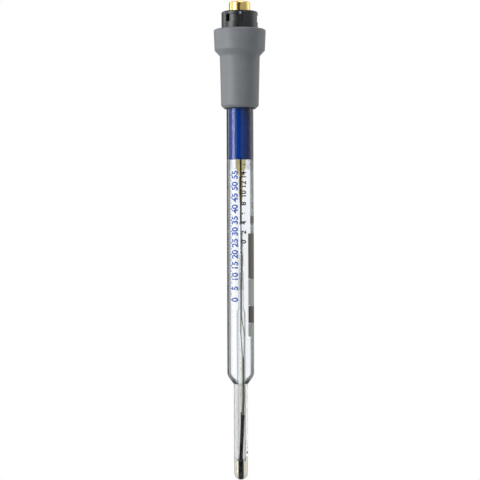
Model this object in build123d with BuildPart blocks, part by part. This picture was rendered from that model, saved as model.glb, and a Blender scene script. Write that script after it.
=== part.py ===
"""Laboratory glass pH electrode with a built-in temperature sensor.

The electrode stands upright with its tip down. Z runs along the shaft's axis and starts at the
lowest point of the glass membrane. The front, which carries the connector's index dot, faces -Y,
and an azimuth is counted from the front towards +X.
"""

import os
from math import cos, radians, sin, sqrt, tan

from build123d import *

os.makedirs("parts", exist_ok=True)

# Running clearance round pieces that are pushed or cemented into a bore
FIT = 0.02

# Glass membrane at the tip, a little slimmer than the stem
MEMBRANE_STEP = 0.025
MEMBRANE_WALL = 0.35
MEMBRANE_LENGTH = 8.7

# Narrow stem, closed below by the ring seal that carries the inner tube
STEM_OD = 6.25
STEM_WALL = 0.7
STEM_LENGTH = 33.9
RING_SEAL_THICKNESS = 0.6

# Shaft, drawn in to a shoulder that is fused to the stem
SHAFT_OD = 12.0
SHAFT_WALL = 1.0
SHAFT_EXPOSED = 122.2
SHOULDER_ANGLE = 36.0
SHOULDER_RADIUS = 4.8
JOINT_BEAD = 0.18
JOINT_RADIUS = 0.09
RIM_RADIUS = 0.25
CAP_SEAT_STEP = 0.2

# Inner tube: a wide body, a shoulder and a drawn neck that closes on the lead cable
INNER_OD = 2.9
INNER_WALL = 0.3
INNER_SHIFT = 0.2
INNER_SHOULDER_LENGTH = 2.6
INNER_SHOULDER_RADIUS = 1.2
NECK_FOOT_OD = 1.9
NECK_OD = 1.45
NECK_WALL = 0.24
NECK_LENGTH = 38.0
NECK_RADIUS = 0.8
WAIST_OD = 1.05
WAIST_HALF_LENGTH = 1.9
WAIST_ABOVE_FOOT = 17.3
WAIST_RADIUS = 1.5
NECK_TIP_LENGTH = 2.2
NECK_TIP_RADIUS = 0.4

# Ceramic junction through the wall of the stem
JUNCTION_DIAMETER = 1.0
JUNCTION_ABOVE_RING = 3.5
JUNCTION_AZIMUTH = 75.0

# Temperature sensor
SENSOR_TIP_CLEARANCE = 0.3
SENSOR_HEAD_DIAMETER = 1.78
SENSOR_HEAD_LENGTH = 7.55
SENSOR_FOOT_RADIUS = 0.62
SENSOR_TAPER_LENGTH = 1.9
SENSOR_TAPER_RADIUS = 1.0
SLEEVE_DIAMETER = 1.2
SLEEVE_LENGTH = 18.7
SLEEVE_TOP_RADIUS = 0.27
SLEEVE_WALL_GAP = 0.09
BEAD_DIAMETER = 1.1
BEAD_LENGTH = 2.6
BEAD_TIP_WALL = 0.5
SENSOR_CABLE_DIAMETER = 0.8
SENSOR_CABLE_WALL_GAP = 0.12
SENSOR_CABLE_LEAN_LENGTH = 7.2
SENSOR_CABLE_BEND = 40.0
FORK_BELOW_SHOULDER = 19.3
FORK_LENGTH = 6.0

# Wires: insulated sensor wires and bare silver wires
WIRE_DIAMETER = 0.3
WIRE_GAP = 0.012
WIRE_BEND = 12.0
WIRE_WALL_GAP = 0.04
GATHER_LENGTH = 7.0
GATHER_BELOW_SHOULDER = 1.5
SILVER_WIRE_DIAMETER = 0.25
INNER_ELEMENT_DIAMETER = 0.36
INNER_ELEMENT_LENGTH = 16.0
INNER_ELEMENT_ABOVE_RING = 5.3
REFERENCE_ELEMENT_DIAMETER = 0.9
REFERENCE_ELEMENT_LENGTH = 16.0
REFERENCE_ABOVE_NECK_FOOT = 7.7
REFERENCE_DEPTH_SHARE = 0.48
ELEMENT_CAP_LENGTH = 1.0
LEAD_CABLE_DIAMETER = 0.6
LEAD_CABLE_ENTRY = 1.3
LEAD_BARE_LENGTH = 8.4

# Fillings and seals of the shaft
PLUG_BELOW_CAP = 23.0
SEAL_THICKNESS = 4.3
BUFFER_BELOW_WAIST = 0.8
LEAD_SEAL_LENGTH = 19.1
LEAD_SEAL_COLLAR_LENGTH = 2.9
LEAD_SEAL_FLARE_LENGTH = 4.8
LEAD_SEAL_TAPER_LENGTH = 3.8
LEAD_SEAL_TOP_DIAMETER = 3.0
LEAD_SEAL_BODY_DIAMETER = 1.3
LEAD_SEAL_TIP_DIAMETER = 0.74
LEAD_SEAL_RADIUS = 1.0
LEAD_SEAL_HOLLOW_RADIUS = 2.0

# Cap, whose outside follows from its walls round the shaft and the connector
CAP_MOUTH_WALL = 2.35
CAP_NECK_WALL = 2.875
CAP_NECK_LENGTH = 23.0
CAP_FLARE_LENGTH = 2.5
CAP_HEAD_LOW_WALL = 3.025
CAP_HEAD_WALL = 3.425
CAP_HEAD_LENGTH = 9.3
CAP_RIM_RADIUS = 0.8
CAP_SEAT_RADIUS = 0.3
CAP_FLARE_RADIUS = 0.8
CAP_LIP = 0.28
CAP_MOUTH_BEVEL = 1.0
CAP_BEVEL_RADIUS = 0.4
CAP_BORE_CLEARANCE = 0.05
CHAMBER_HEIGHT = 5.2
SEAT_LEDGE = 1.1

# Rubber ring in the cap's mouth
MOUTH_RING_WIDTH = 1.23
MOUTH_RING_LENGTH = 2.9
MOUTH_RING_PROUD = 0.4
MOUTH_RING_RADIUS = 0.35

# Plug-in connector
CONNECTOR_OD = 16.2
CONNECTOR_EXPOSED = 7.9
CONNECTOR_SEATED = 8.4
CONNECTOR_CHAMFER = 0.5
CONNECTOR_EDGE_RADIUS = 0.2
CONNECTOR_FOOT_RADIUS = 0.3
CONNECTOR_CLEARANCE = 0.05
O_RING_SECTION = 1.4
O_RING_CLEARANCE = 0.02
O_RING_BELOW_CAP_TOP = 4.2

# Bayonet tracks round the connector
TRACK_COUNT = 3
TRACK_DEPTH = 0.9
TRACK_HEIGHT = 3.3
TRACK_RIM = 1.6
TRACK_START = -47.5
TRACK_END = 6.0
LOCK_DEPTH = 1.6
LOCK_END = -38.0
KEYWAY_AZIMUTH = 2.0
KEYWAY_WIDTH = 2.4
DOT_DIAMETER = 1.1
DOT_LENGTH = 0.65
DOT_PROUD = 0.15
DOT_BELOW_FACE = 1.2

# Contacts
COAX_OD = 9.5
COAX_WALL = 1.45
COAX_BARREL_WALL = 0.7
COAX_HEIGHT = 4.5
COAX_RIM_RADIUS = 0.9
COAX_BORE_RADIUS = 0.4
INSULATOR_RECESS = 3.3
COAX_PIN_DIAMETER = 1.5
COAX_PIN_RECESS = 1.2
COAX_PIN_BORE = 0.8
COAX_PIN_BORE_DEPTH = 3.0
CONTACT_COUNT = 3
CONTACT_DIAMETER = 1.0
CONTACT_RECESS = 0.3
CONTACT_FIRST_AZIMUTH = 40.0
CONTACT_EDGE_RADIUS = 0.2
TAIL_LENGTH = 1.4
HEAD_WIRE_BEND = 0.3

# Heights of the outside, from the tip upwards
ring_height = MEMBRANE_LENGTH
joint_height = ring_height + STEM_LENGTH
mouth_height = joint_height + SHAFT_EXPOSED
neck_top = mouth_height + CAP_NECK_LENGTH
head_foot = neck_top + CAP_FLARE_LENGTH
cap_top = head_foot + CAP_HEAD_LENGTH
seat_height = cap_top - CONNECTOR_SEATED
face_height = cap_top + CONNECTOR_EXPOSED
coax_top = face_height + COAX_HEIGHT
tube_top = seat_height - CHAMBER_HEIGHT

# Heights of the inside, from the cap downwards
plug_foot = mouth_height - PLUG_BELOW_CAP
electrolyte_level = plug_foot - SEAL_THICKNESS
lead_seal_foot = plug_foot - LEAD_SEAL_LENGTH
inner_top = lead_seal_foot - LEAD_BARE_LENGTH
inner_neck_foot = inner_top - NECK_LENGTH
inner_shoulder = inner_neck_foot - INNER_SHOULDER_LENGTH
waist_height = inner_neck_foot + WAIST_ABOVE_FOOT
cable_end = inner_top - LEAD_CABLE_ENTRY
buffer_level = waist_height - WAIST_HALF_LENGTH - BUFFER_BELOW_WAIST
fork_height = inner_shoulder - FORK_BELOW_SHOULDER
gather_top = inner_shoulder - GATHER_BELOW_SHOULDER
gather_foot = gather_top - GATHER_LENGTH
cable_top = tube_top + TAIL_LENGTH
tail_end = seat_height - TAIL_LENGTH

# Slope of the shoulder, and radii used by more than one piece
shoulder_slope = tan(radians(SHOULDER_ANGLE))
joint_radius = STEM_OD / 2 + JOINT_BEAD
stem_bore = STEM_OD / 2 - STEM_WALL
shaft_bore = SHAFT_OD / 2 - SHAFT_WALL
shaft_seat = SHAFT_OD / 2 - CAP_SEAT_STEP
inner_bore = INNER_OD / 2 - INNER_WALL
inner_right = INNER_SHIFT + inner_bore
membrane_radius = STEM_OD / 2 - MEMBRANE_STEP
membrane_bore = membrane_radius - MEMBRANE_WALL
sleeve_radius = SLEEVE_DIAMETER / 2
wire_radius = WIRE_DIAMETER / 2
wire_spread = (WIRE_DIAMETER + WIRE_GAP) / sqrt(3)
silver_radius = SILVER_WIRE_DIAMETER / 2
seat_bore = CONNECTOR_OD / 2 + CONNECTOR_CLEARANCE
groove_floor = seat_bore - O_RING_SECTION - O_RING_CLEARANCE
chamber_radius = CONNECTOR_OD / 2 - SEAT_LEDGE
track_floor = CONNECTOR_OD / 2 - TRACK_DEPTH
coax_bore = COAX_OD / 2 - COAX_WALL
barrel_radius = coax_bore + COAX_BARREL_WALL
contact_circle = (COAX_OD / 2 + groove_floor) / 2


def outward(azimuth):
    """Unit vector that points away from the axis at an azimuth."""
    return Vector(sin(radians(azimuth)), -cos(radians(azimuth)), 0)


def turned(points, radii=0.0, shift=0.0):
    """Solid turned about the axis, or one moved sideways by shift, from a closed half-section."""
    with BuildPart() as solid:
        with BuildSketch(Plane(origin=(shift, 0, 0), x_dir=(1, 0, 0), z_dir=(0, -1, 0))):
            with BuildLine():
                FilletPolyline(*points, radius=radii, close=True)
            make_face()
        revolve(axis=Axis((shift, 0, 0), (0, 0, 1)))
    return solid.part


def round_bar(radius, low, high, x=0.0, y=0.0):
    """Upright round bar between two heights."""
    with BuildPart() as solid:
        with BuildSketch(Plane((x, y, low))):
            Circle(radius)
        extrude(amount=high - low)
    return solid.part


def round_ended(radius, low, high):
    """Upright round bar whose lower end is a hemisphere."""
    with BuildPart() as solid:
        add(round_bar(radius, low + radius, high))
        with Locations((0, 0, low + radius)):
            Sphere(radius)
    return solid.part


def wire_along(points, radius, bend):
    """Round wire along straight runs joined by arcs."""
    with BuildPart() as solid:
        with BuildLine() as route:
            FilletPolyline(*points, radius=bend)
        with BuildSketch(Plane(origin=route.line @ 0, z_dir=route.line % 0)):
            Circle(radius)
        sweep(path=route.line)
    return solid.part


def sector(inner_radius, outer_radius, start, end):
    """Ring segment between two azimuths less than a half turn apart."""
    reach = 2 * outer_radius
    middle = (start + end) / 2
    with BuildSketch() as face:
        Circle(outer_radius)
        Circle(inner_radius, mode=Mode.SUBTRACT)
        with BuildSketch(mode=Mode.INTERSECT):
            with BuildLine():
                Polyline((0, 0), outward(start) * reach, outward(middle) * reach,
                         outward(end) * reach, close=True)
            make_face()
    return face.sketch


def shaft_inside(low, high):
    """Space inside the stem and shaft between two heights, as one turned solid."""
    cone_start = joint_radius - SHAFT_WALL / cos(radians(SHOULDER_ANGLE))
    foot = joint_height + (stem_bore - cone_start) / shoulder_slope
    corner = joint_height + (shaft_bore - cone_start) / shoulder_slope
    outline = [(0, low), (stem_bore, low), (stem_bore, foot), (shaft_bore, corner),
               (shaft_bore, high), (0, high)]
    return turned(outline, [0, 0, 0, SHOULDER_RADIUS - SHAFT_WALL, 0, 0])


def inner_form(wall):
    """Form of the inner tube, offset inwards by a share of its wall: 0 outside, 1 inside."""
    body = INNER_OD / 2 - wall * INNER_WALL
    foot = NECK_FOOT_OD / 2 - wall * NECK_WALL
    neck = NECK_OD / 2 - wall * NECK_WALL
    waist = WAIST_OD / 2 - wall * (WAIST_OD / 2 - wire_spread - wire_radius - FIT)
    tip = LEAD_CABLE_DIAMETER / 2 + FIT + (1 - wall) * NECK_WALL / 2
    outline = [(0, ring_height), (body, ring_height), (body, inner_shoulder),
               (foot, inner_neck_foot), (neck, waist_height - WAIST_HALF_LENGTH),
               (waist, waist_height), (neck, waist_height + WAIST_HALF_LENGTH),
               (neck, inner_top - NECK_TIP_LENGTH + wall * NECK_WALL), (tip, inner_top),
               (0, inner_top)]
    radii = [0, 0, INNER_SHOULDER_RADIUS, INNER_SHOULDER_RADIUS, NECK_RADIUS, WAIST_RADIUS,
             NECK_RADIUS, NECK_TIP_RADIUS, 0, 0]
    return turned(outline, radii, INNER_SHIFT)


# Stem of the outer glass, with the ring seal across its foot
junction_plane = Plane(origin=(0, 0, ring_height + JUNCTION_ABOVE_RING),
                       z_dir=outward(JUNCTION_AZIMUTH))
seal_top = ring_height + RING_SEAL_THICKNESS
with BuildPart() as stem_tube:
    add(round_bar(STEM_OD / 2, ring_height, joint_height))
    add(round_bar(stem_bore, seal_top, joint_height), mode=Mode.SUBTRACT)
    add(round_bar(INNER_OD / 2, ring_height, seal_top, INNER_SHIFT), mode=Mode.SUBTRACT)
    with BuildSketch(junction_plane):
        Circle(JUNCTION_DIAMETER / 2)
    extrude(amount=STEM_OD, mode=Mode.SUBTRACT)

# Porous ceramic plug in the wall of the stem
with BuildPart() as ceramic_junction:
    with BuildSketch(junction_plane):
        Circle(JUNCTION_DIAMETER / 2)
    extrude(amount=STEM_OD)
    add(round_bar(STEM_OD / 2, ring_height, joint_height), mode=Mode.INTERSECT)
    add(round_bar(stem_bore, ring_height, joint_height), mode=Mode.SUBTRACT)

# Glass membrane, a round-ended shell fused under the ring seal
with BuildPart() as ph_membrane:
    add(round_ended(membrane_radius, 0, ring_height))
    add(round_ended(membrane_bore, MEMBRANE_WALL, ring_height), mode=Mode.SUBTRACT)

# Shaft tube with its drawn-in shoulder, ground a little slimmer where the cap is cemented on
shoulder_corner = joint_height + (SHAFT_OD / 2 - joint_radius) / shoulder_slope
ring_foot = mouth_height - MOUTH_RING_PROUD
with BuildPart() as shaft_tube:
    add(turned([(0, joint_height), (joint_radius, joint_height), (SHAFT_OD / 2, shoulder_corner),
                (SHAFT_OD / 2, ring_foot), (shaft_seat, ring_foot), (shaft_seat, tube_top),
                (0, tube_top)],
               [0, JOINT_RADIUS, SHOULDER_RADIUS, 0, 0, RIM_RADIUS, 0]))
    add(shaft_inside(joint_height, tube_top), mode=Mode.SUBTRACT)

# Inner tube, blown in one with its neck
with BuildPart() as inner_tube:
    add(inner_form(0))
    add(inner_form(1), mode=Mode.SUBTRACT)

# Lead cable, from the neck of the inner tube to the head
with BuildPart() as lead_cable:
    add(round_bar(LEAD_CABLE_DIAMETER / 2, cable_end, cable_top, INNER_SHIFT))

# Amber resin drop that seals the lead cable under the plug
drop_top = LEAD_SEAL_TOP_DIAMETER / 2
drop_body = LEAD_SEAL_BODY_DIAMETER / 2
collar_foot = plug_foot - LEAD_SEAL_COLLAR_LENGTH
with BuildPart() as lead_seal:
    add(turned([(0, lead_seal_foot), (LEAD_SEAL_TIP_DIAMETER / 2, lead_seal_foot),
                (drop_body, lead_seal_foot + LEAD_SEAL_TAPER_LENGTH),
                (drop_body, collar_foot - LEAD_SEAL_FLARE_LENGTH),
                (drop_top, collar_foot), (drop_top, plug_foot), (0, plug_foot)],
               [0, 0, LEAD_SEAL_RADIUS, LEAD_SEAL_HOLLOW_RADIUS, LEAD_SEAL_RADIUS, 0, 0],
               INNER_SHIFT))
    add(lead_cable.part, mode=Mode.SUBTRACT)

# Glazed bead of the thermistor
sensor_foot = MEMBRANE_WALL + SENSOR_TIP_CLEARANCE
bead_foot = sensor_foot + BEAD_TIP_WALL
with BuildPart() as thermistor_bead:
    add(round_ended(BEAD_DIAMETER / 2, bead_foot, bead_foot + BEAD_LENGTH))

# Sensor head and sleeve: a heat-shrunk cover over the bead and the start of the cable
head_radius = SENSOR_HEAD_DIAMETER / 2
sensor_neck = sensor_foot + SENSOR_HEAD_LENGTH
sleeve_foot = Vector(0, 0, sensor_neck + SENSOR_TAPER_LENGTH)
sleeve_end = Vector(inner_right - sleeve_radius - SLEEVE_WALL_GAP, 0, sleeve_foot.Z + SLEEVE_LENGTH)
with BuildPart() as sensor_sleeve:
    add(turned([(0, sensor_foot), (head_radius, sensor_foot), (head_radius, sensor_neck),
                (sleeve_radius, sleeve_foot.Z), (0, sleeve_foot.Z)],
               [0, SENSOR_FOOT_RADIUS, SENSOR_TAPER_RADIUS, 0, 0]))
    with BuildSketch(Plane(origin=sleeve_foot, z_dir=sleeve_end - sleeve_foot)):
        Circle(sleeve_radius)
    extrude(amount=(sleeve_end - sleeve_foot).length)
    fillet(edges().sort_by(Axis.Z)[-1], SLEEVE_TOP_RADIUS)
    with Locations(sleeve_foot):
        Sphere(sleeve_radius)
    add(thermistor_bead.part, mode=Mode.SUBTRACT)

# Insulated sensor cable, from the sleeve up to the fork
cable_lane = inner_right - SENSOR_CABLE_DIAMETER / 2 - SENSOR_CABLE_WALL_GAP
with BuildPart() as sensor_cable:
    add(wire_along([sleeve_end, (cable_lane, 0, sleeve_end.Z + SENSOR_CABLE_LEAN_LENGTH),
                    (cable_lane, 0, fork_height)],
                   SENSOR_CABLE_DIAMETER / 2, SENSOR_CABLE_BEND))

# Two thin sensor wires from the fork, through the neck, to the lead cable
left_slot, right_slot, back_slot = [
    Vector(INNER_SHIFT, 0, 0) + outward(azimuth) * wire_spread for azimuth in (-60, 60, 180)]
wall_lane = inner_right - wire_radius - WIRE_WALL_GAP
fork_half = SENSOR_CABLE_DIAMETER / 4
with BuildPart() as sensor_wires:
    add(wire_along([(cable_lane - fork_half, 0, fork_height),
                    (left_slot.X, left_slot.Y, gather_foot),
                    (left_slot.X, left_slot.Y, cable_end)], wire_radius, WIRE_BEND))
    add(wire_along([(cable_lane + fork_half, 0, fork_height),
                    (wall_lane, 0, fork_height + FORK_LENGTH), (wall_lane, 0, gather_foot),
                    (right_slot.X, right_slot.Y, gather_top),
                    (right_slot.X, right_slot.Y, cable_end)], wire_radius, WIRE_BEND))

# Silver wire and silver chloride element of the inner half-cell, behind the sensor
element_x = INNER_SHIFT / 2
element_y = (sleeve_radius + inner_bore) / 2
element_foot = ring_height + INNER_ELEMENT_ABOVE_RING
with BuildPart() as inner_wire:
    add(wire_along([(element_x, element_y, element_foot + ELEMENT_CAP_LENGTH),
                    (element_x, element_y, gather_foot),
                    (back_slot.X, back_slot.Y, gather_top),
                    (back_slot.X, back_slot.Y, cable_end)], silver_radius, WIRE_BEND))
with BuildPart() as inner_element:
    add(round_ended(INNER_ELEMENT_DIAMETER / 2, element_foot,
                    element_foot + INNER_ELEMENT_LENGTH).moved(Location((element_x, element_y, 0))))
    add(inner_wire.part, mode=Mode.SUBTRACT)

# Silver wire and element of the reference half-cell, behind the neck of the inner tube
barrel_middle = (barrel_radius + coax_bore) / 2
reference_foot = inner_neck_foot + REFERENCE_ABOVE_NECK_FOOT
reference_depth = REFERENCE_DEPTH_SHARE * shaft_bore
with BuildPart() as reference_wire:
    add(wire_along([(INNER_SHIFT, reference_depth, reference_foot + ELEMENT_CAP_LENGTH),
                    (INNER_SHIFT, reference_depth, tube_top + CHAMBER_HEIGHT / 3),
                    (INNER_SHIFT, barrel_middle, seat_height - CHAMBER_HEIGHT / 3),
                    (INNER_SHIFT, barrel_middle, seat_height)], silver_radius, HEAD_WIRE_BEND))
with BuildPart() as reference_element:
    add(round_ended(REFERENCE_ELEMENT_DIAMETER / 2, reference_foot,
                    reference_foot + REFERENCE_ELEMENT_LENGTH
                    ).moved(Location((INNER_SHIFT, reference_depth, 0))))
    add(reference_wire.part, mode=Mode.SUBTRACT)

# Reference electrolyte between the outer glass and the inner tube
with BuildPart() as reference_electrolyte:
    add(shaft_inside(seal_top, electrolyte_level))
    add(inner_form(0), mode=Mode.SUBTRACT)
    for piece in (lead_seal, lead_cable, reference_wire, reference_element):
        add(piece.part, mode=Mode.SUBTRACT)

# Buffer solution inside the membrane and the inner tube
with BuildPart() as buffer_column:
    add(inner_form(1))
    add(round_bar(INNER_OD, ring_height, buffer_level, INNER_SHIFT), mode=Mode.INTERSECT)
with BuildPart() as inner_buffer:
    add(round_ended(membrane_bore, MEMBRANE_WALL, ring_height))
    add(buffer_column.part)
    for piece in (thermistor_bead, sensor_sleeve, sensor_cable, sensor_wires, inner_wire,
                  inner_element):
        add(piece.part, mode=Mode.SUBTRACT)

# Clear silicone seal on the electrolyte, and the blue plug above it
with BuildPart() as tube_seal:
    add(round_bar(shaft_bore - FIT, electrolyte_level, plug_foot))
    for piece in (lead_seal, lead_cable, reference_wire):
        add(piece.part, mode=Mode.SUBTRACT)
with BuildPart() as blue_plug:
    add(round_bar(shaft_bore - FIT, plug_foot, tube_top))
    for piece in (lead_cable, reference_wire):
        add(piece.part, mode=Mode.SUBTRACT)

# Cap: narrow round the shaft, flared to the head that holds the connector
cap_bore = shaft_seat + CAP_BORE_CLEARANCE
cap_mouth = SHAFT_OD / 2 + CAP_MOUTH_WALL
ring_bore = shaft_seat + FIT
ring_outside = ring_bore + MOUTH_RING_WIDTH
mouth_bore = ring_outside + FIT
mouth_step = mouth_height + MOUTH_RING_LENGTH - MOUTH_RING_PROUD
with BuildPart() as cap:
    add(turned([(mouth_bore, mouth_height), (mouth_bore + CAP_LIP, mouth_height),
                (cap_mouth, mouth_height + CAP_MOUTH_BEVEL),
                (SHAFT_OD / 2 + CAP_NECK_WALL, neck_top),
                (seat_bore + CAP_HEAD_LOW_WALL, head_foot), (seat_bore + CAP_HEAD_WALL, cap_top),
                (seat_bore, cap_top), (seat_bore, seat_height), (chamber_radius, seat_height),
                (chamber_radius, tube_top), (cap_bore, tube_top), (cap_bore, mouth_step),
                (mouth_bore, mouth_step)],
               [0.3 * CAP_LIP, CAP_LIP, CAP_BEVEL_RADIUS, CAP_FLARE_RADIUS, CAP_FLARE_RADIUS,
                CAP_RIM_RADIUS, CAP_SEAT_RADIUS, 0, 0, 0, 0, 0, 0]))

# Rubber ring between the cap's mouth and the glass
with BuildPart() as mouth_ring:
    add(turned([(ring_bore, ring_foot), (ring_outside, ring_foot), (ring_outside, mouth_step),
                (ring_bore, mouth_step)],
               [MOUTH_RING_RADIUS, MOUTH_RING_RADIUS, 0, 0]))

# Index dot, a pale pin set in the floor of the front keyway
dot_plane = Plane(origin=outward(KEYWAY_AZIMUTH) * (track_floor + DOT_PROUD - DOT_LENGTH)
                  + Vector(0, 0, face_height - DOT_BELOW_FACE), z_dir=outward(KEYWAY_AZIMUTH))
with BuildPart() as index_dot:
    with BuildSketch(dot_plane):
        Circle(DOT_DIAMETER / 2)
    extrude(amount=DOT_LENGTH)

# Connector body: turned form with an O-ring groove, bores for the contacts and bayonet tracks
groove_middle = cap_top - O_RING_BELOW_CAP_TOP
groove_foot = groove_middle - O_RING_SECTION / 2 - O_RING_CLEARANCE
groove_top = groove_middle + O_RING_SECTION / 2 + O_RING_CLEARANCE
connector_radius = CONNECTOR_OD / 2
track_foot = face_height - TRACK_RIM - TRACK_HEIGHT
with BuildPart() as connector_body:
    add(turned([(barrel_radius + FIT, seat_height), (connector_radius, seat_height),
                (connector_radius, groove_foot), (groove_floor, groove_foot),
                (groove_floor, groove_top), (connector_radius, groove_top),
                (connector_radius, face_height - CONNECTOR_CHAMFER),
                (connector_radius - CONNECTOR_CHAMFER, face_height),
                (barrel_radius + FIT, face_height)],
               [0, CONNECTOR_FOOT_RADIUS, 0, 0, 0, 0, CONNECTOR_EDGE_RADIUS,
                CONNECTOR_EDGE_RADIUS, 0]))
    with BuildSketch(Plane.XY.offset(track_foot)):
        with PolarLocations(0, TRACK_COUNT):
            add(sector(track_floor, CONNECTOR_OD, TRACK_START, TRACK_END))
            add(sector(connector_radius - LOCK_DEPTH, CONNECTOR_OD, TRACK_START, LOCK_END))
    extrude(amount=TRACK_HEIGHT, mode=Mode.SUBTRACT)
    with BuildSketch(Plane.XY.offset(track_foot)):
        with PolarLocations(0, TRACK_COUNT):
            with Locations(outward(KEYWAY_AZIMUTH) * connector_radius):
                Rectangle(KEYWAY_WIDTH, 2 * TRACK_DEPTH, rotation=KEYWAY_AZIMUTH)
    extrude(amount=TRACK_HEIGHT + TRACK_RIM, mode=Mode.SUBTRACT)
    with BuildSketch(Plane.XY.offset(seat_height)):
        with PolarLocations(0, CONTACT_COUNT):
            with Locations(outward(CONTACT_FIRST_AZIMUTH) * contact_circle):
                Circle(CONTACT_DIAMETER / 2 + FIT)
    extrude(amount=face_height - seat_height, mode=Mode.SUBTRACT)
    add(index_dot.part, mode=Mode.SUBTRACT)

# O-ring between the connector and the cap
with BuildPart() as connector_seal:
    with Locations((0, 0, groove_middle)):
        Torus(seat_bore - (O_RING_SECTION + O_RING_CLEARANCE) / 2, O_RING_SECTION / 2)

# Gold-plated coaxial shell, whose edges are rounded as far as its wall allows
rim_round = min(COAX_RIM_RADIUS, 0.65 * COAX_WALL)
bore_round = min(COAX_BORE_RADIUS, 0.3 * COAX_WALL)
with BuildPart() as coax_shell:
    add(turned([(coax_bore, seat_height), (barrel_radius, seat_height),
                (barrel_radius, face_height), (COAX_OD / 2, face_height),
                (COAX_OD / 2, coax_top), (coax_bore, coax_top)],
               [0, 0, 0, 0, rim_round, bore_round]))

# White insulator, centre pin and the ring of small contacts
pin_radius = COAX_PIN_DIAMETER / 2
insulator_top = coax_top - INSULATOR_RECESS
pin_top = coax_top - COAX_PIN_RECESS
with BuildPart() as coax_insulator:
    add(turned([(pin_radius + FIT, seat_height), (coax_bore - FIT, seat_height),
                (coax_bore - FIT, insulator_top), (pin_radius + FIT, insulator_top)],
               [0, 0, CONTACT_EDGE_RADIUS, 0]))
with BuildPart() as coax_pin:
    add(round_bar(pin_radius, tail_end, pin_top))
    fillet(edges().sort_by(Axis.Z)[-1], CONTACT_EDGE_RADIUS)
    add(round_bar(COAX_PIN_BORE / 2, pin_top - COAX_PIN_BORE_DEPTH, pin_top), mode=Mode.SUBTRACT)
with BuildPart() as contact_pins:
    with BuildSketch(Plane.XY.offset(tail_end)):
        with PolarLocations(0, CONTACT_COUNT):
            with Locations(outward(CONTACT_FIRST_AZIMUTH) * contact_circle):
                Circle(CONTACT_DIAMETER / 2)
    extrude(amount=face_height - CONTACT_RECESS - tail_end)
    fillet(edges().group_by(Axis.Z)[-1], CONTACT_EDGE_RADIUS)

# Short wires in the head, from the end of the lead cable to two contacts and the centre pin
step = (tail_end - cable_top) / 3
contact_pitch = 360 / CONTACT_COUNT
with BuildPart() as head_wires:
    for index in range(2):
        side = outward(CONTACT_FIRST_AZIMUTH + index * contact_pitch)
        start = Vector(INNER_SHIFT, 0, cable_top) + side * wire_spread
        contact = side * contact_circle + Vector(0, 0, tail_end)
        rise = Vector(0, 0, step)
        add(wire_along([start, start + rise, contact - rise, contact], wire_radius,
                       HEAD_WIRE_BEND))
    centre = Vector(INNER_SHIFT, 0, 0) + outward(CONTACT_FIRST_AZIMUTH - 120) * wire_spread
    add(round_bar(wire_radius, cable_top, tail_end, centre.X, centre.Y))

# Potting resin that fills the chamber between the tube's end and the connector
with BuildPart() as head_potting:
    add(round_bar(chamber_radius - FIT, tube_top, seat_height))
    for piece in (lead_cable, reference_wire, head_wires, coax_pin, contact_pins):
        add(piece.part, mode=Mode.SUBTRACT)

pieces = {
    "stem_tube": stem_tube,
    "ceramic_junction": ceramic_junction,
    "ph_membrane": ph_membrane,
    "shaft_tube": shaft_tube,
    "inner_tube": inner_tube,
    "lead_cable": lead_cable,
    "lead_seal": lead_seal,
    "thermistor_bead": thermistor_bead,
    "sensor_sleeve": sensor_sleeve,
    "sensor_cable": sensor_cable,
    "sensor_wires": sensor_wires,
    "inner_wire": inner_wire,
    "inner_element": inner_element,
    "reference_wire": reference_wire,
    "reference_element": reference_element,
    "reference_electrolyte": reference_electrolyte,
    "inner_buffer": inner_buffer,
    "tube_seal": tube_seal,
    "blue_plug": blue_plug,
    "cap": cap,
    "mouth_ring": mouth_ring,
    "connector_body": connector_body,
    "index_dot": index_dot,
    "connector_seal": connector_seal,
    "coax_shell": coax_shell,
    "coax_insulator": coax_insulator,
    "coax_pin": coax_pin,
    "contact_pins": contact_pins,
    "head_wires": head_wires,
    "head_potting": head_potting,
}
for label, piece in pieces.items():
    piece.part.label = label
    export_step(piece.part, f"parts/{label}.step")
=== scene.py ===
"""Looks of a laboratory pH electrode, with real refracting glass and liquids, in the CAD frame.

Sizes of the object are in millimetres and are turned into metres where a mesh is made. The stage
round it is in metres. An azimuth is counted in degrees from the front, -Y, towards +X.
"""

from math import atan2, cos, radians, sin, tan

import bpy
import numpy as np
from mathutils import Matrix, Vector


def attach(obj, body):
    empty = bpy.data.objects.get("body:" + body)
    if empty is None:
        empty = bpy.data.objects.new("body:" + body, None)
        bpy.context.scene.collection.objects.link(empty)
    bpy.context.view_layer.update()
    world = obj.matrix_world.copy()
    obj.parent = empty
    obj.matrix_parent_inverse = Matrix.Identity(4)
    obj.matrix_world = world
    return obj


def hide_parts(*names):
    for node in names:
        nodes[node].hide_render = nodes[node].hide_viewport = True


MM = 0.001
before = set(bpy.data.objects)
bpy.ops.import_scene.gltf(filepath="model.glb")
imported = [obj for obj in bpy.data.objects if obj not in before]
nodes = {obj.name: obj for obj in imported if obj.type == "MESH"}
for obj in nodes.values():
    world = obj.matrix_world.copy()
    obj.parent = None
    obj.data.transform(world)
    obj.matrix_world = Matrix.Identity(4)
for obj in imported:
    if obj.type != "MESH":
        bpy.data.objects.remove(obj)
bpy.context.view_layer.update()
scene = bpy.context.scene

# Shaft and stem: heights from the tip, radii, and the slope of the shoulder between them
JOINT = 42.6
GROUND_SEAT = 164.4
TUBE_TOP = 186.0
SHAFT = 6.0
SHAFT_BORE = 5.0
SEAT_STEP = 0.15
STEM = 3.125
STEM_BORE = 2.425
JOINT_RADIUS = 3.305
SLOPE_ANGLE = radians(36.0)

# Membrane, and the ring of glass that closes the stem round the inner tube
MEMBRANE = 3.1
MEMBRANE_BORE = 2.75
MEMBRANE_SIDE = MEMBRANE + 0.1
SEAL_RING_FOOT = 8.7
SEAL_RING_TOP = 9.3

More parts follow.
